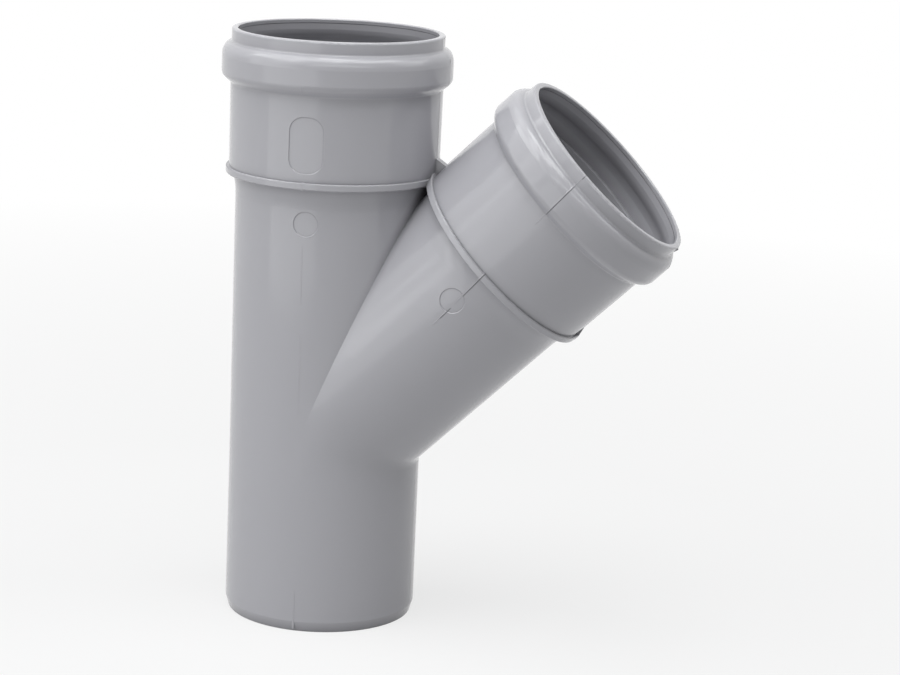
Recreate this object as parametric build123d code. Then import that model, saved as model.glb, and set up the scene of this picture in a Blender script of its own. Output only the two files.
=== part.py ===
"""Equal 45 degree push-fit drainage wye, moulded in one piece.

The run axis is Z, with the spigot end on z = 0 and the run socket at the top.
The branch leaves the run axis towards +X, in the plane y = 0.
All sizes are in millimetres.
"""
import os
from math import cos, hypot, radians, sin, tan

from build123d import *

# The pipe that the fitting joins
pipe_diameter = 75.0
body_wall = 3.0

# The layout of the two axes
branch_angle = 45.0
crossing_height = 79.0
run_reach = 150.5
branch_reach = 151.6
throat_round = 4.0
tube_draft = 0.2

# The small web that fills the sharp angle between the two sockets
web_thickness = 4.0
web_width = 6.6
web_reach = 111.6
web_slope = 34.0

# The spigot end
spigot_chamfer_height = 4.0
spigot_chamfer_depth = 1.1

# The plain rim at the mouth
rim_wall = 2.4
rim_length = 5.2
rim_round = 0.8
rim_crease_round = 1.0

# The bead round the ring groove
bead_height = 3.55
bead_length = 15.4
bead_front_length = 5.0
bead_back_length = 3.0
bead_corner_round = 3.0
bead_foot_round = 1.0
bead_wall = 2.5

# The slightly drafted barrel, the collar ring and the neck below it
socket_depth = 55.6
barrel_wall = 2.8
barrel_draft = 0.4
ring_width = 2.8
ring_height = 1.2
ring_round = 0.5
neck_height = 1.2
neck_length = 8.0

# The inside of the socket, measured from its mouth
socket_clearance = 0.6
lip_clearance = 1.8
mouth_round = 0.3
witness_inset = 1.6
witness_width = 0.3
witness_depth = 0.35
groove_start = 4.0
groove_length = 11.6
groove_front_length = 7.2

# The bare recesses left by the mould's marking inserts
mark_depth = 0.3
mark_edge = 0.25
body_mark_diameter = 9.3
run_mark_clearance = 0.85
branch_mark_clearance = 1.95
barrel_mark_width = 13.0
barrel_mark_length = 21.0
barrel_mark_round = 5.4
barrel_mark_clearance = 3.3

# How far a cutting form runs past the face that it cuts
cut_margin = 1.0

quarter_turn = 90.0

pipe_radius = pipe_diameter / 2
bore_radius = pipe_radius - body_wall
run_length = crossing_height + run_reach
bend_radius = pipe_radius + throat_round
bend_reach = bend_radius * tan(radians(branch_angle / 2))
branch_direction = Vector(sin(radians(branch_angle)), 0, cos(radians(branch_angle)))
branch_across = Vector(cos(radians(branch_angle)), 0, -sin(radians(branch_angle)))
crossing = Vector(0, 0, crossing_height)
halving_angle = branch_angle / 2
halving_direction = Vector(sin(radians(halving_angle)), 0, cos(radians(halving_angle)))
web_across = Vector(cos(radians(web_slope)), 0, -sin(radians(web_slope)))

socket_radius = (pipe_diameter + socket_clearance) / 2
lip_radius = (pipe_diameter + lip_clearance) / 2
rim_radius = lip_radius + rim_wall
bead_radius = rim_radius + bead_height
bead_end = rim_length + bead_length
ring_start = socket_depth - ring_width
barrel_radius = socket_radius + barrel_wall
barrel_top_radius = barrel_radius + (ring_start - bead_end) * tan(radians(barrel_draft))
ring_radius = barrel_radius + ring_height
barrel_mark_inset = ring_start - barrel_mark_clearance - barrel_mark_length / 2
groove_radius = bead_radius - bead_wall
groove_end = groove_start + groove_length

# Both profiles lie in the wye's own plane: x is the radius and y the depth from the mouth
run_plane = Plane((0, 0, run_length), x_dir=(1, 0, 0), z_dir=(0, 1, 0))
branch_plane = Plane(
    crossing + branch_direction * branch_reach,
    x_dir=branch_across,
    z_dir=(0, 1, 0),
)


def rounded(face, place, size):
    """Round the corner of a profile that lies nearest to a place."""
    target = Vector(*place)
    vertex = min(face.vertices(), key=lambda v: (Vector(v) - target).length)
    return fillet(vertex, size)


def drafted(radius, draft_start, depth):
    """The radius of a tube's wall at one depth. The wall widens from the bend to the socket."""
    return radius + (draft_start - depth) * tan(radians(tube_draft))


def outside_profile(draft_start, foot):
    """Half section of one socket's outer form and of its tube, which ends in the foot's points."""
    front_end = rim_length + bead_front_length
    neck_top = drafted(pipe_radius, draft_start, socket_depth) + neck_height
    neck_start = (neck_top, socket_depth)
    neck_end_depth = socket_depth + neck_length
    neck_end = (drafted(pipe_radius, draft_start, neck_end_depth), neck_end_depth)
    shoulder = EllipticalCenterArc(
        (rim_radius, front_end),
        bead_radius - rim_radius,
        bead_front_length,
        start_angle=-quarter_turn,
        arc_size=quarter_turn,
    )
    lines = Curve() + [
        Polyline(foot[-1], (0, 0), (rim_radius, 0), shoulder @ 0),
        shoulder,
        Polyline(
            shoulder @ 1,
            (bead_radius, bead_end - bead_back_length),
            (barrel_top_radius, bead_end),
            (barrel_radius, ring_start),
            (ring_radius, ring_start),
            (ring_radius, socket_depth),
            neck_start,
        ),
        TangentArc(neck_end, neck_start, tangent=(tan(radians(tube_draft)), -1)),
        Polyline(neck_end, (pipe_radius, draft_start), *foot),
    ]
    face = make_face(lines)
    face = rounded(face, (rim_radius, 0), rim_round)
    face = rounded(face, (rim_radius, rim_length), rim_crease_round)
    face = rounded(face, (bead_radius, bead_end - bead_back_length), bead_corner_round)
    face = rounded(face, (barrel_top_radius, bead_end), bead_foot_round)
    face = rounded(face, (ring_radius, ring_start), ring_round)
    return rounded(face, (ring_radius, socket_depth), ring_round)


def inside_profile(draft_start, length):
    """Half section of the hollow of one socket and of the bore behind it.

    The lip swells smoothly into the ring groove, whose far side is a square step.
    """
    front_end = groove_start + groove_front_length
    front_middle = ((lip_radius + groove_radius) / 2, (groove_start + front_end) / 2)
    witness_top = witness_inset - witness_width / 2
    witness_end = witness_inset + witness_width / 2
    lines = Curve() + [
        Polyline(
            (0, length),
            (0, -cut_margin),
            (lip_radius + mouth_round, -cut_margin),
            (lip_radius + mouth_round, 0),
            (lip_radius, mouth_round),
            (lip_radius, witness_top),
            (lip_radius + witness_depth, witness_top),
            (lip_radius + witness_depth, witness_end),
            (lip_radius, witness_end),
            (lip_radius, groove_start),
        ),
        TangentArc((lip_radius, groove_start), front_middle, tangent=(0, 1)),
        TangentArc((groove_radius, front_end), front_middle, tangent=(0, -1)),
        Polyline(
            (groove_radius, front_end),
            (groove_radius, groove_end),
            (socket_radius, groove_end),
            (socket_radius, socket_depth),
            (drafted(bore_radius, draft_start, socket_depth), socket_depth),
            (bore_radius, draft_start),
            (bore_radius, length),
            (0, length),
        ),
    ]
    return make_face(lines)


def turned(profile, plane):
    """Turn a half section about its depth axis, in the plane of one socket."""
    return plane * revolve(profile, axis=Axis.Y)


def elbow(radius):
    """The sweep from the spigot up into the branch, which rounds the crook between them."""
    start = crossing_height - bend_reach
    section = Plane((0, 0, start)) * Circle(radius)
    return revolve(section, Axis((bend_radius, 0, start), (0, 1, 0)), branch_angle)


def web():
    """The web that fills the sharp angle between the two sockets, down into the tubes' walls."""
    mid_wall_radius = (pipe_radius + bore_radius) / 2
    foot = crossing + halving_direction * (mid_wall_radius / sin(radians(halving_angle)))
    top_middle = crossing + halving_direction * web_reach
    top_half = web_across * (web_width / 2)
    outline = make_face(Polyline(foot, top_middle - top_half, top_middle + top_half, close=True))
    return extrude(outline, web_thickness / 2, both=True)


def bevelled(body, plane, inset, reach, floor_radius):
    """Bevel the outer rim of a shallow recess, whose middle lies at a depth from the mouth."""
    middle = plane.from_local_coords((0, inset, -floor_radius))

    def is_rim(edge):
        points = [edge @ share for share in (0, 0.5, 1)]
        local = [plane.to_local_coords(point) for point in points]
        on_wall = all(hypot(p.X, p.Z) > floor_radius + mark_depth / 2 for p in local)
        return on_wall and all((point - middle).length < reach for point in points)

    return chamfer([edge for edge in body.edges() if is_rim(edge)], mark_edge)


def tube_mark(plane, inset, floor_radius):
    """The round recess on the near side of one tube, below its neck."""
    mark = Pos(0, inset) * Circle(body_mark_diameter / 2)
    core = Pos(0, inset) * Cylinder(
        floor_radius,
        2 * body_mark_diameter,
        rotation=(90, 0, 0),
    )
    return plane * (extrude(mark, -pipe_diameter) - core)


def barrel_mark(plane):
    """The rounded oblong recess on the near side of the run socket's barrel."""
    mark = RectangleRounded(barrel_mark_width, barrel_mark_length, barrel_mark_round)
    mark = Pos(0, barrel_mark_inset) * mark
    core = make_face(
        Polyline(
            (0, bead_end),
            (barrel_top_radius - mark_depth, bead_end),
            (barrel_radius - mark_depth, ring_start),
            (0, ring_start),
            close=True,
        )
    )
    return plane * (extrude(mark, -2 * bead_radius) - revolve(core, axis=Axis.Y))


def wye():
    """The whole fitting: two equal sockets on two tubes that cross at the branch angle."""
    spigot_foot = [
        (pipe_radius, run_length - spigot_chamfer_height),
        (pipe_radius - spigot_chamfer_depth, run_length),
        (0, run_length),
    ]
    branch_foot = [(pipe_radius, branch_reach), (0, branch_reach)]
    run_draft_start = run_reach + bend_reach
    branch_draft_start = branch_reach - bend_reach
    run_outside = turned(outside_profile(run_draft_start, spigot_foot), run_plane)
    branch_outside = turned(outside_profile(branch_draft_start, branch_foot), branch_plane)
    run_inside = turned(inside_profile(run_draft_start, run_length + cut_margin), run_plane)
    branch_inside = turned(inside_profile(branch_draft_start, branch_reach), branch_plane)

    body = run_outside + branch_outside + elbow(pipe_radius) + web()
    hollow = run_inside + branch_inside + elbow(bore_radius)
    body -= hollow
    for plane, clearance, draft_start in (
        (run_plane, run_mark_clearance, run_draft_start),
        (branch_plane, branch_mark_clearance, branch_draft_start),
    ):
        inset = socket_depth + neck_length + clearance + body_mark_diameter / 2
        floor_radius = drafted(pipe_radius, draft_start, inset) - mark_depth
        body -= tube_mark(plane, inset, floor_radius)
        body = bevelled(body, plane, inset, body_mark_diameter / 2 + cut_margin, floor_radius)
    body -= barrel_mark(run_plane)
    mark_reach = hypot(barrel_mark_width, barrel_mark_length) / 2 + cut_margin
    wall_radius = barrel_radius + (ring_start - barrel_mark_inset) * tan(radians(barrel_draft))
    return bevelled(body, run_plane, barrel_mark_inset, mark_reach, wall_radius - mark_depth)


os.makedirs("parts", exist_ok=True)
body = wye()
print("wye_body", "solids", len(body.solids()), "valid", body.is_valid, "volume", body.volume)
export_step(body, "parts/wye_body.step")
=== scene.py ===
"""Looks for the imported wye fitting: camera, light, plastic and fine mould detail.

Lengths are in metres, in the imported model's own frame: the run axis is Z, the
branch leaves it towards +X, and the spigot end stands on z = 0. A depth is
measured from a socket's mouth along its own axis.
"""
from math import cos, radians, sin, sqrt, tan

import bmesh
import bpy
from mathutils import Matrix, Vector


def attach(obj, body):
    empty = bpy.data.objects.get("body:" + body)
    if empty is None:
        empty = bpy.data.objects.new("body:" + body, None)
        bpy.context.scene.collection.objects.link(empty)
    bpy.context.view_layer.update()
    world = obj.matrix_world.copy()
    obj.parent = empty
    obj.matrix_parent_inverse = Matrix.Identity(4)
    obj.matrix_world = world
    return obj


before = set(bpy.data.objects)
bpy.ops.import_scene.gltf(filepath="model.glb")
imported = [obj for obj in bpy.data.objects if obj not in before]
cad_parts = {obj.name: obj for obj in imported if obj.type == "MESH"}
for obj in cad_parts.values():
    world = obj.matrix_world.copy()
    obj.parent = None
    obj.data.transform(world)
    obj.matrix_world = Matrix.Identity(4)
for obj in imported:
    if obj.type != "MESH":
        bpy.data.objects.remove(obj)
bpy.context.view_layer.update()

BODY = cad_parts["wye_body"]

# Sizes that the part's own source gives, repeated here in metres
RUN_LENGTH = 0.2295
RUN_REACH = 0.1505
BRANCH_REACH = 0.1516
CROSSING = Vector((0.0, 0.0, 0.0790))
BRANCH_ANGLE = radians(45.0)
BRANCH_DIRECTION = Vector((sin(BRANCH_ANGLE), 0.0, cos(BRANCH_ANGLE)))
BRANCH_ACROSS = Vector((cos(BRANCH_ANGLE), 0.0, -sin(BRANCH_ANGLE)))
PIPE_RADIUS = 0.0375
BEND_REACH = 0.01719
TUBE_DRAFT = radians(0.2)
RIM_RADIUS = 0.0408
RIM_LENGTH = 0.0052
BEAD_RADIUS = 0.04435
BEAD_TOP = 0.0102
BEAD_LOW = 0.0176
BEAD_END = 0.0206
BARREL_TOP_RADIUS = 0.040825
BARREL_RADIUS = 0.0406
RING_RADIUS = 0.0418
RING_START = 0.0528
SOCKET_DEPTH = 0.0556
NECK_HEIGHT = 0.0012
NECK_LENGTH = 0.0080

# The rounds of the bead's section: their radii, where the first starts, how far the
# other two run past their corners, and the depths where each meets the plain wall
RIM_CREASE_ROUND = 0.0010
RIM_CREASE_START = 0.00441
RIM_CREASE_END = RIM_LENGTH + 0.0001
BEAD_CORNER_ROUND = 0.0030
BEAD_CORNER_RUN = 0.001386
BEAD_CORNER_END = BEAD_LOW + 0.0009
BEAD_FOOT_ROUND = 0.0010
BEAD_FOOT_RUN = 0.000462
BEAD_FOOT_START = BEAD_END - 0.0003

# The round recess on the branch: the depth of its middle, its radius and its own depth
MARK_MIDDLE = 0.0702
MARK_RADIUS = 0.00465
MARK_DEPTH = 0.0003
MARK_TOP = MARK_MIDDLE - MARK_RADIUS

# Parting ridges: how closely one follows the form, in how many steps at the least, and
# how deep it roots
RIDGE_STEP = 0.0005
RIDGE_LEAST_STEPS = 4
RIDGE_ROOT = 0.0003
# A ridge fades over one part in this many of a span, at either end
RIDGE_FADE = 6.0
# How far a ridge stays inside the bead's own radius, which is the edge of the CAD box
BOX_MARGIN = 0.00005
# The ridge's section: places across it, and whether each is on its top or at its root
RIDGE_FLANKS = [(-0.00100, False), (-0.00032, True), (-0.00008, True), (0.00020, False)]
# The slow change of height along a ridge: its mean, its swing, and two waves in radians
# per metre, the second of them shifted
WANDER_MEAN = 0.85
WANDER_SWING = 0.15
WANDER_WAVES = (410.0, 157.0)
WANDER_SHIFT = 1.0

# Where the parting line lies across the near side: its offset at the mouth and its drift
BRANCH_LINE_START = -0.00233
BRANCH_LINE_DRIFT = 0.0549
RUN_LINE_START = -0.00145
RUN_LINE_DRIFT = 0.0088

# The spans of each ridge, as (first depth, last depth, height). They overlap a little
# where the form turns, so that no gap opens in a ridge
PLAIN_LINE = [
    (0.0012, RIM_LENGTH, 0.00008),
    (RIM_LENGTH, BEAD_END, 0.00012),
    (BEAD_END, RING_START, 0.00006),
    (RING_START - 0.0002, SOCKET_DEPTH, 0.00014),
]
RUN_NEAR_LINE = [
    (BEAD_LOW - 0.0014, BEAD_END - 0.0004, 0.00008),
    (RING_START - 0.0002, SOCKET_DEPTH, 0.00008),
]
RUN_TUBE_NEAR_LINE = [
    (0.0765, 0.1000, 0.00004),
    (0.1120, 0.1430, 0.00004),
    (0.2130, 0.2285, 0.00007),
]
BRANCH_NEAR_LINE = [
    (0.0006, RIM_LENGTH, 0.00004),
    (RIM_LENGTH - 0.0004, BEAD_TOP + 0.0004, 0.00010),
    (BEAD_LOW - 0.0014, BEAD_END + 0.0002, 0.00010),
    (BEAD_END, 0.0260, 0.00004),
    (RING_START - 0.0003, SOCKET_DEPTH, 0.00018),
]
BRANCH_TUBE_NEAR_LINE = [
    (SOCKET_DEPTH - 0.0002, MARK_TOP + 0.0002, 0.00012),
    (MARK_MIDDLE + MARK_RADIUS - 0.0004, 0.0825, 0.00010),
]
BRANCH_MARK_LINE = [(MARK_TOP + 0.0003, MARK_MIDDLE, 0.00008)]

# The painted shade beside the branch's ridge, a dark line in the colour in place of a fine step's
# shadow: its places across, its soft edge, its spans of depth with their own soft edge, the share
# of the colour left in it, and its added roughness
SEAM_SHADE_BAND = (-0.00006, 0.00024)
SEAM_EDGE = 0.00008
SEAM_SPANS = [(0.0, 0.0014), (0.0056, 0.0200), (0.0528, 0.0656), (0.0728, 0.0780)]
SEAM_FADE = 0.0005
SEAM_SHADE_COLOUR = 0.42
SEAM_ROUGHNESS = 0.3
# The y from which a place counts as the near side, fully and not at all
NEAR_SIDE = (-0.030, -0.020)

# The ridge over the branch bead's crest, in relief: the depths over which it rises and
# falls, its height, and how strongly it shows
CREST_RISE = (BEAD_TOP - 0.0012, BEAD_TOP)
CREST_FALL = (BEAD_LOW - 0.0012, BEAD_LOW - 0.0002)
CREST_HEIGHT = 0.00010
CREST_STRENGTH = 1.0

# Two scraps of flash on the branch's lower outline, as (radius, depth) points in its
# parting plane
NIB_THICKNESS = 0.0005
NIBS = {
    "rim_nib": [
        (0.0402, 0.0010), (0.0409, 0.0009), (0.0414, 0.0014),
        (0.0412, 0.0020), (0.0408, 0.0036), (0.0402, 0.0036),
    ],
    "ring_nib": [
        (0.0400, 0.0484), (0.0407, 0.0488), (0.0413, 0.0510),
        (0.0418, 0.0528), (0.0418, 0.0534), (0.0400, 0.0534),
    ],
}

# Camera, fitted to the outline in the photograph
CAMERA_AZIMUTH = radians(12.796)
CAMERA_ELEVATION = radians(12.93)
CAMERA_ROLL = radians(2.615)
CAMERA_DISTANCE = 1.02085
CAMERA_TARGET = Vector((0.04887, 0.0, 0.11369))
SENSOR_WIDTH = 36.0
LENS = 105.31
CLIP_START = 0.05
CLIP_END = 50.0

# Studio: each soft panel is (azimuth, elevation, distance, width, height, power)
STUDIO_CENTRE = Vector((0.03, 0.0, 0.13))
LAMPS = {
    "left_low": (-56.0, 10.0, 1.7, 1.496, 0.539, 2.9),
    "left_mid": (-72.0, 28.0, 1.7, 1.374, 0.539, 1.4),
    "left_high": (-64.0, 46.0, 1.7, 1.549, 0.539, 8.7),
    "front_mid": (-38.0, 28.0, 1.7, 0.911, 0.539, 1.5),
    "front_high": (-8.0, 46.0, 1.7, 1.374, 0.539, 1.4),
    "front_strip": (18.0, 29.0, 1.7, 1.900, 0.260, 3.4),
    "top_left": (-80.0, 64.0, 1.7, 1.138, 0.539, 2.9),
    "top_centre": (-16.0, 64.0, 1.7, 1.138, 0.539, 6.1),
    "top_front": (32.0, 66.0, 1.7, 0.690, 0.539, 2.5),
    "top_right": (80.0, 64.0, 1.7, 1.138, 0.539, 7.2),
    "right_mid": (98.0, 28.0, 1.7, 0.911, 0.539, 2.2),
    "right_high": (98.0, 46.0, 1.7, 0.816, 0.539, 2.2),
    "top": (0.0, 86.0, 1.7, 0.661, 0.661, 7.0),
    "rear_left": (-120.0, 62.0, 1.7, 0.848, 1.237, 3.2),
    "rear_right": (120.0, 36.0, 1.7, 0.600, 0.400, 1.2),
    "table_strip": (-33.0, 0.0, 0.6, 0.638, 0.255, 0.47),
}
LAMP_COLOUR = (0.990, 1.0, 1.004)
AMBIENT = 0.02
WHITE = (1.0, 1.0, 1.0, 1.0)
WHITE_STRENGTH = 1.0

# The floor: half its width, its grey paper, and the share of plain white that lies over
# the paper, near the fitting and far from it, with the distances between which it changes
FLOOR_HALF = 4.0
FLOOR_PAPER = (0.6, 0.6, 0.6, 1.0)
FLOOR_WHITE = (0.74, 1.0)
FLOOR_REACH = (0.25, 0.9)

# The plastic: its two tones, and the scale and detail of each noise in it
PLASTIC = (0.370, 0.367, 0.391, 1.0)
PLASTIC_DARK = (0.364, 0.361, 0.385, 1.0)
PLASTIC_IOR = 1.49
CLOUDS = (12.0, 3.0)
GLOSS = (55.0, 4.0)
SKIN = (1400.0, 2.0)
# The values of a noise between which its whole effect is spread
NOISE_SPAN = (0.2, 0.8)
# The roughness that the gloss varies between, and the relief of the mould's skin
ROUGHNESS = (0.105, 0.135)
SKIN_STRENGTH = 0.04
SKIN_HEIGHT = 0.0002
# Painted shade in tight corners and hollows, found by ambient occlusion: how far apart the walls
# are, how closed in the darkest is, and its share of colour
CREASE_REACH = 0.004
CREASE_CLOSED = 0.3
CREASE_SHADE_COLOUR = 0.62
CREASE_SAMPLES = 6


def direction_at(azimuth, elevation):
    """Unit vector from the object towards a place at an azimuth from -Y towards +X."""
    return Vector(
        (sin(azimuth) * cos(elevation), -cos(azimuth) * cos(elevation), sin(elevation))
    )


def add_camera():
    """The camera of the photograph, with its slight roll."""
    towards = direction_at(CAMERA_AZIMUTH, CAMERA_ELEVATION)
    place = CAMERA_TARGET + towards * CAMERA_DISTANCE
    right = (-towards).cross(Vector((0, 0, 1))).normalized()
    up = right.cross(-towards)
    right_rolled = right * cos(CAMERA_ROLL) + up * sin(CAMERA_ROLL)
    up_rolled = up * cos(CAMERA_ROLL) - right * sin(CAMERA_ROLL)
    data = bpy.data.cameras.new("camera")
    data.sensor_width = SENSOR_WIDTH
    data.lens = LENS
    data.clip_start = CLIP_START
    data.clip_end = CLIP_END
    camera = bpy.data.objects.new("camera", data)
    rows = zip(right_rolled, up_rolled, towards, place)
    camera.matrix_world = Matrix((*rows, (0.0, 0.0, 0.0, 1.0)))
    bpy.context.scene.collection.objects.link(camera)
    bpy.context.scene.camera = camera


def add_lamps():
    """The soft panels, which all face the middle of the studio and which no camera sees."""
    for name, (azimuth, elevation, distance, width, height, power) in LAMPS.items():
        data = bpy.data.lights.new(name, "AREA")
        data.shape = "RECTANGLE"
        data.size = width
        data.size_y = height
        data.energy = power
        data.color = LAMP_COLOUR
        lamp = bpy.data.objects.new(name, data)
        lamp.visible_camera = False
        towards = direction_at(radians(azimuth), radians(elevation))
        lamp.location = STUDIO_CENTRE + towards * distance
        lamp.rotation_euler = towards.to_track_quat("Z", "Y").to_euler()
        bpy.context.scene.collection.objects.link(lamp)


def new_material(name):
    """An empty material and its node tree."""
    material = bpy.data.materials.new(name)
    material.use_nodes = True
    material.node_tree.nodes.clear()
    return material, material.node_tree


def node(tree, kind, **values):
    """A new node with its own settings, and with its inputs left as they are."""
    made = tree.nodes.new(kind)
    for key, value in values.items():
        setattr(made, key, value)
    return made


def noise(tree, coordinates, scale, detail):
    """The value of a noise texture."""
    made = node(tree, "ShaderNodeTexNoise")
    made.inputs["Scale"].default_value = scale
    made.inputs["Detail"].default_value = detail
    tree.links.new(coordinates, made.inputs["Vector"])
    return made.outputs["Fac"]


def ranged(tree, value, low, high, to_low, to_high):
    """A value whose span from low to high is mapped to another span, and held beyond it."""
    made = node(tree, "ShaderNodeMapRange")
    made.inputs["From Min"].default_value = low
    made.inputs["From Max"].default_value = high
    made.inputs["To Min"].default_value = to_low
    made.inputs["To Max"].default_value = to_high
    tree.links.new(value, made.inputs["Value"])
    return made.outputs[0]


def calculate(tree, operation, *values):
    """One Math node on two or three inputs, each a number or another node's output."""
    made = node(tree, "ShaderNodeMath", operation=operation)
    for slot, value in enumerate(values):
        if isinstance(value, float):
            made.inputs[slot].default_value = value
        else:
            tree.links.new(value, made.inputs[slot])
    return made.outputs[0]


def along(tree, place, direction):
    """How far a place lies along a direction."""
    made = node(tree, "ShaderNodeVectorMath", operation="DOT_PRODUCT")
    tree.links.new(place, made.inputs[0])
    made.inputs[1].default_value = direction
    return made.outputs["Value"]


def relief(tree, height, strength, distance, normal=None):
    """A normal bent by a height, on top of another normal if one is given."""
    made = node(tree, "ShaderNodeBump")
    made.inputs["Strength"].default_value = strength
    made.inputs["Distance"].default_value = distance
    tree.links.new(height, made.inputs["Height"])
    if normal is not None:
        tree.links.new(normal, made.inputs["Normal"])
    return made.outputs[0]


def glow(tree, kind, strength):
    """A white shader that shines at a strength."""
    made = node(tree, kind)
    made.inputs["Color"].default_value = WHITE
    made.inputs["Strength"].default_value = strength
    return made.outputs[0]


def show_mixed(tree, kind, share, first, second):
    """Send two shaders, mixed by a share of the second, to an output of a kind."""
    mix = node(tree, "ShaderNodeMixShader")
    for slot, value in enumerate((share, first, second)):
        tree.links.new(value, mix.inputs[slot])
    tree.links.new(mix.outputs[0], node(tree, kind).inputs["Surface"])


def white_for_seen_rays(tree):
    """1 for rays from the camera, or through gloss or glass, and 0 for the rest."""
    rays = node(tree, "ShaderNodeLightPath").outputs
    first = calculate(tree, "MAXIMUM", rays["Is Camera Ray"], rays["Is Glossy Ray"])
    return calculate(tree, "MAXIMUM", first, rays["Is Transmission Ray"])


def add_world():
    """A faint even light, which looks plain white to the camera and in gloss."""
    world = bpy.data.worlds.new("studio")
    world.use_nodes = True
    tree = world.node_tree
    tree.nodes.clear()
    ambient = glow(tree, "ShaderNodeBackground", AMBIENT)
    white = glow(tree, "ShaderNodeBackground", WHITE_STRENGTH)
    show_mixed(tree, "ShaderNodeOutputWorld", white_for_seen_rays(tree), ambient, white)
    bpy.context.scene.world = world


def add_floor():
    """A pale floor that keeps a light shadow near the fitting and is white further out."""
    mesh = bpy.data.meshes.new("floor")
    corners = [(-1, -1), (1, -1), (1, 1), (-1, 1)]
    corners = [(x * FLOOR_HALF, y * FLOOR_HALF, 0) for x, y in corners]
    mesh.from_pydata(corners, [], [(0, 1, 2, 3)])
    floor = bpy.data.objects.new("floor", mesh)
    bpy.context.scene.collection.objects.link(floor)
    material, tree = new_material("floor_paper")
    place = node(tree, "ShaderNodeTexCoord").outputs["Object"]
    distance = node(tree, "ShaderNodeVectorMath", operation="LENGTH")
    tree.links.new(place, distance.inputs[0])
    far = ranged(tree, distance.outputs["Value"], *FLOOR_REACH, *FLOOR_WHITE)
    share = calculate(tree, "MULTIPLY", far, white_for_seen_rays(tree))
    paper = node(tree, "ShaderNodeBsdfDiffuse")
    paper.inputs["Color"].default_value = FLOOR_PAPER
    white = glow(tree, "ShaderNodeEmission", WHITE_STRENGTH)
    show_mixed(tree, "ShaderNodeOutputMaterial", share, paper.outputs[0], white)
    mesh.materials.append(material)


def near_seam(tree, place):
    """Depth on the branch, offset from its parting line, and 1 on the near side only."""
    mouth = BRANCH_REACH + CROSSING.dot(BRANCH_DIRECTION)
    depth = calculate(tree, "MULTIPLY_ADD", along(tree, place, BRANCH_DIRECTION), -1.0, mouth)
    across = along(tree, place, BRANCH_ACROSS)
    across = calculate(tree, "ADD", across, -CROSSING.dot(BRANCH_ACROSS))
    line = calculate(tree, "MULTIPLY_ADD", depth, BRANCH_LINE_DRIFT, BRANCH_LINE_START)
    near = ranged(tree, along(tree, place, Vector((0, 1, 0))), *NEAR_SIDE, 1.0, 0.0)
    return depth, calculate(tree, "SUBTRACT", across, line), near


def window(tree, value, low, high, edge):
    """1 from low to high, which falls to 0 over an edge at either side."""
    rise = ranged(tree, value, low - edge, low, 0.0, 1.0)
    fall = ranged(tree, value, high, high + edge, 1.0, 0.0)
    return calculate(tree, "MULTIPLY", rise, fall)


def seam_shade(tree, place):
    """1 in the painted shade, a dark line beside the branch's parting ridge, and 0 elsewhere."""
    depth, offset, near = near_seam(tree, place)
    painted_seam_shade = calculate(tree, "MULTIPLY", window(tree, offset, *SEAM_SHADE_BAND, SEAM_EDGE), near)
    total, *spans = [window(tree, depth, *span, SEAM_FADE) for span in SEAM_SPANS]
    for span in spans:
        total = calculate(tree, "ADD", total, span)
    return calculate(tree, "MULTIPLY", painted_seam_shade, total)


def crest_line(tree, place):
    """Height from 0 to 1 of the parting line over the branch bead's crest.

    A real ridge there would stand outside the CAD model's box, so this short
    stretch is relief in the plastic. It has the section of the other ridges.
    """
    depth, offset, near = near_seam(tree, place)
    (left, _), (left_top, _), (right_top, _), (right, _) = RIDGE_FLANKS
    rise = ranged(tree, offset, left, left_top, 0.0, 1.0)
    fall = ranged(tree, offset, right_top, right, 1.0, 0.0)
    start = ranged(tree, depth, *CREST_RISE, 0.0, 1.0)
    end = ranged(tree, depth, *CREST_FALL, 1.0, 0.0)
    section = calculate(tree, "MINIMUM", rise, fall)
    stretch = calculate(tree, "MULTIPLY", calculate(tree, "MULTIPLY", start, end), near)
    return calculate(tree, "MULTIPLY", section, stretch)


def plastic_colour(tree, place, seam_shade_mask):
    """Faintly clouded grey, with painted shade: darker in tight corners and hollows found by
    ambient occlusion, and in a dark line beside the branch's ridge.
    """
    clouded = node(tree, "ShaderNodeMix", data_type="RGBA")
    clouded.inputs["A"].default_value = PLASTIC_DARK
    clouded.inputs["B"].default_value = PLASTIC
    clouds = ranged(tree, noise(tree, place, *CLOUDS), *NOISE_SPAN, 0.0, 1.0)
    tree.links.new(clouds, clouded.inputs["Factor"])
    # Painted shade: ambient occlusion darkens the colour in tight corners and hollows
    crease_occlusion = node(tree, "ShaderNodeAmbientOcclusion", samples=CREASE_SAMPLES)
    crease_occlusion.inputs["Distance"].default_value = CREASE_REACH
    painted_crease_shade = ranged(tree, crease_occlusion.outputs["AO"], CREASE_CLOSED, 1.0, CREASE_SHADE_COLOUR, 1.0)
    # Painted shade: a dark line beside the branch's ridge, in place of a fine step's shadow
    painted_seam_shade = ranged(tree, seam_shade_mask, 0.0, 1.0, 1.0, SEAM_SHADE_COLOUR)
    shaded = node(tree, "ShaderNodeMix", data_type="RGBA", blend_type="MULTIPLY")
    shaded.inputs["Factor"].default_value = 1.0
    tree.links.new(clouded.outputs["Result"], shaded.inputs["A"])
    tree.links.new(calculate(tree, "MULTIPLY", painted_crease_shade, painted_seam_shade), shaded.inputs["B"])
    return shaded.outputs["Result"]


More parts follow.
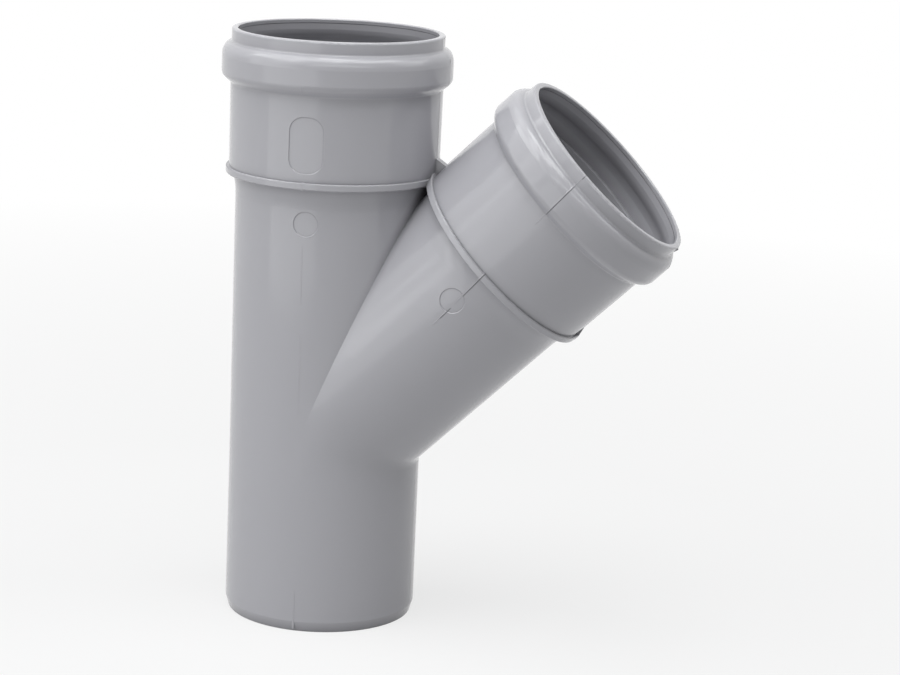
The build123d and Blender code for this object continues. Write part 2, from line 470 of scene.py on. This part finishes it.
def plastic_material():
    """Satin moulded plastic, with uneven gloss, a fine mould skin, one line's crest and painted
    shade.
    """
    material, tree = new_material("satin_plastic")
    place = node(tree, "ShaderNodeTexCoord").outputs["Object"]
    seam_shade_mask = seam_shade(tree, place)
    gloss = ranged(tree, noise(tree, place, *GLOSS), *NOISE_SPAN, *ROUGHNESS)
    skin = relief(tree, noise(tree, place, *SKIN), SKIN_STRENGTH, SKIN_HEIGHT)
    shader = node(tree, "ShaderNodeBsdfPrincipled")
    shader.inputs["IOR"].default_value = PLASTIC_IOR
    tree.links.new(plastic_colour(tree, place, seam_shade_mask), shader.inputs["Base Color"])
    roughness = calculate(tree, "MULTIPLY_ADD", seam_shade_mask, SEAM_ROUGHNESS, gloss)
    tree.links.new(roughness, shader.inputs["Roughness"])
    crest = relief(tree, crest_line(tree, place), CREST_STRENGTH, CREST_HEIGHT, skin)
    tree.links.new(crest, shader.inputs["Normal"])
    out = node(tree, "ShaderNodeOutputMaterial")
    tree.links.new(shader.outputs[0], out.inputs["Surface"])
    return material


def dress_body():
    """Give the fitting itself the plastic, which every added piece takes from it."""
    BODY.data.materials.clear()
    BODY.data.materials.append(plastic_material())


def add_piece(name, vertices, faces):
    """A closed piece of the fitting's own plastic, with its faces turned outward."""
    mesh = bpy.data.meshes.new(name)
    mesh.from_pydata([tuple(v) for v in vertices], [], faces)
    mesh.validate()
    shape = bmesh.new()
    shape.from_mesh(mesh)
    bmesh.ops.recalc_face_normals(shape, faces=shape.faces)
    shape.to_mesh(mesh)
    shape.free()
    piece = bpy.data.objects.new(name, mesh)
    bpy.context.scene.collection.objects.link(piece)
    mesh.materials.append(BODY.data.materials[0])
    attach(piece, "root")


def on_branch_axis(depth):
    """The point of the branch's axis at a depth."""
    return CROSSING + BRANCH_DIRECTION * (BRANCH_REACH - depth)


def branch_point(radius, depth, across, side):
    """A point on the branch, at an offset across its far side or, with side -1, its near side."""
    out = side * sqrt(radius**2 - across**2)
    return on_branch_axis(depth) + BRANCH_ACROSS * across + Vector((0, out, 0))


def branch_edge(radius, depth, across, side):
    """A point on the branch, at an offset across its lower or, with side -1, its upper outline."""
    out = side * sqrt(radius**2 - across**2)
    return on_branch_axis(depth) + BRANCH_ACROSS * out + Vector((0, across, 0))


def run_point(radius, depth, across, side):
    """A point on the run, at an offset across its far side or, with side -1, its near side."""
    return Vector((across, side * sqrt(radius**2 - across**2), RUN_LENGTH - depth))


def run_edge(radius, depth, across, side):
    """A point on the run, at an offset across its right or, with side -1, its left outline."""
    return Vector((side * sqrt(radius**2 - across**2), across, RUN_LENGTH - depth))


def arc_rise(radius, run):
    """How far an arc has left the wall that it starts from, after a run along that wall."""
    run = min(max(0.0, run), radius)
    return radius - sqrt(radius**2 - run**2)


def socket_radius_at(depth):
    """Outer radius of a socket, with the rounds of its bead."""
    if depth < BEAD_TOP:
        share = max(0.0, depth - RIM_LENGTH) / (BEAD_TOP - RIM_LENGTH)
        rise = (BEAD_RADIUS - RIM_RADIUS) * sqrt(1 - (1 - share) ** 2)
        if depth < RIM_CREASE_END:
            rise = max(rise, arc_rise(RIM_CREASE_ROUND, depth - RIM_CREASE_START))
        return RIM_RADIUS + rise
    if depth < BEAD_CORNER_END:
        return BEAD_RADIUS - arc_rise(BEAD_CORNER_ROUND, depth - BEAD_LOW + BEAD_CORNER_RUN)
    if depth <= BEAD_FOOT_START:
        share = (depth - BEAD_LOW) / (BEAD_END - BEAD_LOW)
        return BEAD_RADIUS + (BARREL_TOP_RADIUS - BEAD_RADIUS) * share
    foot = arc_rise(BEAD_FOOT_ROUND, BEAD_END + BEAD_FOOT_RUN - depth)
    if depth < BEAD_END:
        return BARREL_TOP_RADIUS + foot
    if depth < RING_START:
        share = (depth - BEAD_END) / (RING_START - BEAD_END)
        return BARREL_TOP_RADIUS + (BARREL_RADIUS - BARREL_TOP_RADIUS) * share + foot
    return RING_RADIUS


def tube_radius_at(depth, draft_start):
    """Outer radius of a tube below its socket: the neck's curve, then the drafted wall."""
    wall = PIPE_RADIUS + max(0.0, draft_start - depth) * tan(TUBE_DRAFT)
    if depth < SOCKET_DEPTH + NECK_LENGTH:
        left = 1 - (depth - SOCKET_DEPTH) / NECK_LENGTH
        wall += NECK_HEIGHT * left**2
    return wall


def run_tube(depth):
    return tube_radius_at(depth, RUN_REACH + BEND_REACH)


def branch_tube(depth):
    return tube_radius_at(depth, BRANCH_REACH - BEND_REACH)


def branch_mark_floor(depth):
    return branch_tube(MARK_MIDDLE) - MARK_DEPTH


def branch_line_offset(depth):
    return BRANCH_LINE_START + BRANCH_LINE_DRIFT * depth


def run_line_offset(depth):
    return RUN_LINE_START + RUN_LINE_DRIFT * depth


def centred(depth):
    return 0.0


def wander(depth):
    """The share of its full height that a ridge has at a depth."""
    first, second = WANDER_WAVES
    waves = sin(depth * first) * sin(depth * second + WANDER_SHIFT)
    return WANDER_MEAN + WANDER_SWING * waves


def add_ridge(name, place, spans, radius_at, offset_at, side, handed=1.0):
    """A fine mould parting ridge that follows a tube's surface along spans of depth.

    The ridge rises gently on one flank and drops sharply on the other, and it
    fades at both ends of a span. With handed -1 its flanks change sides.
    """
    vertices = []
    faces = []
    width = len(RIDGE_FLANKS)
    for first, last, height in spans:
        count = max(RIDGE_LEAST_STEPS, int((last - first) / RIDGE_STEP))
        start = len(vertices)
        for i in range(count + 1):
            depth = first + (last - first) * i / count
            fade = min(1.0, RIDGE_FADE * i / count, RIDGE_FADE * (count - i) / count)
            for across, is_top in RIDGE_FLANKS:
                lift = height * fade * wander(depth) if is_top else -RIDGE_ROOT
                radius = min(radius_at(depth) + lift, BEAD_RADIUS - BOX_MARGIN)
                vertices.append(place(radius, depth, offset_at(depth) + handed * across, side))
        for i in range(count):
            for j in range(width):
                a = start + i * width + j
                b = start + i * width + (j + 1) % width
                faces.append((a, b, b + width, a + width))
        faces.append(tuple(start + j for j in range(width)))
        faces.append(tuple(start + count * width + j for j in reversed(range(width))))
    add_piece(name, vertices, faces)


def add_parting_lines():
    """The fine ridges where the mould's parts met."""
    socket, tube, mark = socket_radius_at, branch_tube, branch_mark_floor
    run, branch = run_line_offset, branch_line_offset
    add_ridge("run_near_line", run_point, RUN_NEAR_LINE, socket, run, -1, -1.0)
    add_ridge("run_tube_near_line", run_point, RUN_TUBE_NEAR_LINE, run_tube, run, -1)
    add_ridge("branch_near_line", branch_point, BRANCH_NEAR_LINE, socket, branch, -1)
    add_ridge("branch_tube_near_line", branch_point, BRANCH_TUBE_NEAR_LINE, tube, branch, -1)
    add_ridge("branch_mark_line", branch_point, BRANCH_MARK_LINE, mark, branch, -1)
    for name, place, side in (
        ("run_far_line", run_point, 1),
        ("branch_far_line", branch_point, 1),
        ("run_right_line", run_edge, 1),
        ("run_left_line", run_edge, -1),
        ("branch_upper_line", branch_edge, -1),
        ("branch_lower_line", branch_edge, 1),
    ):
        add_ridge(name, place, PLAIN_LINE, socket, centred, side)


def add_nibs():
    """The scraps of flash: thin flat fins on the branch's outline."""
    for name, points in NIBS.items():
        count = len(points)
        half = NIB_THICKNESS / 2
        corners = [branch_edge(radius, depth, 0.0, 1) for radius, depth in points]
        vertices = [c + Vector((0, shift, 0)) for shift in (-half, half) for c in corners]
        faces = [tuple(range(count)), tuple(reversed(range(count, 2 * count)))]
        for i in range(count):
            following = (i + 1) % count
            faces.append((i, i + count, following + count, following))
        add_piece(name, vertices, faces)


bpy.context.scene.view_settings.view_transform = "Standard"
add_camera()
add_lamps()
add_world()
add_floor()
dress_body()
add_parting_lines()
add_nibs()
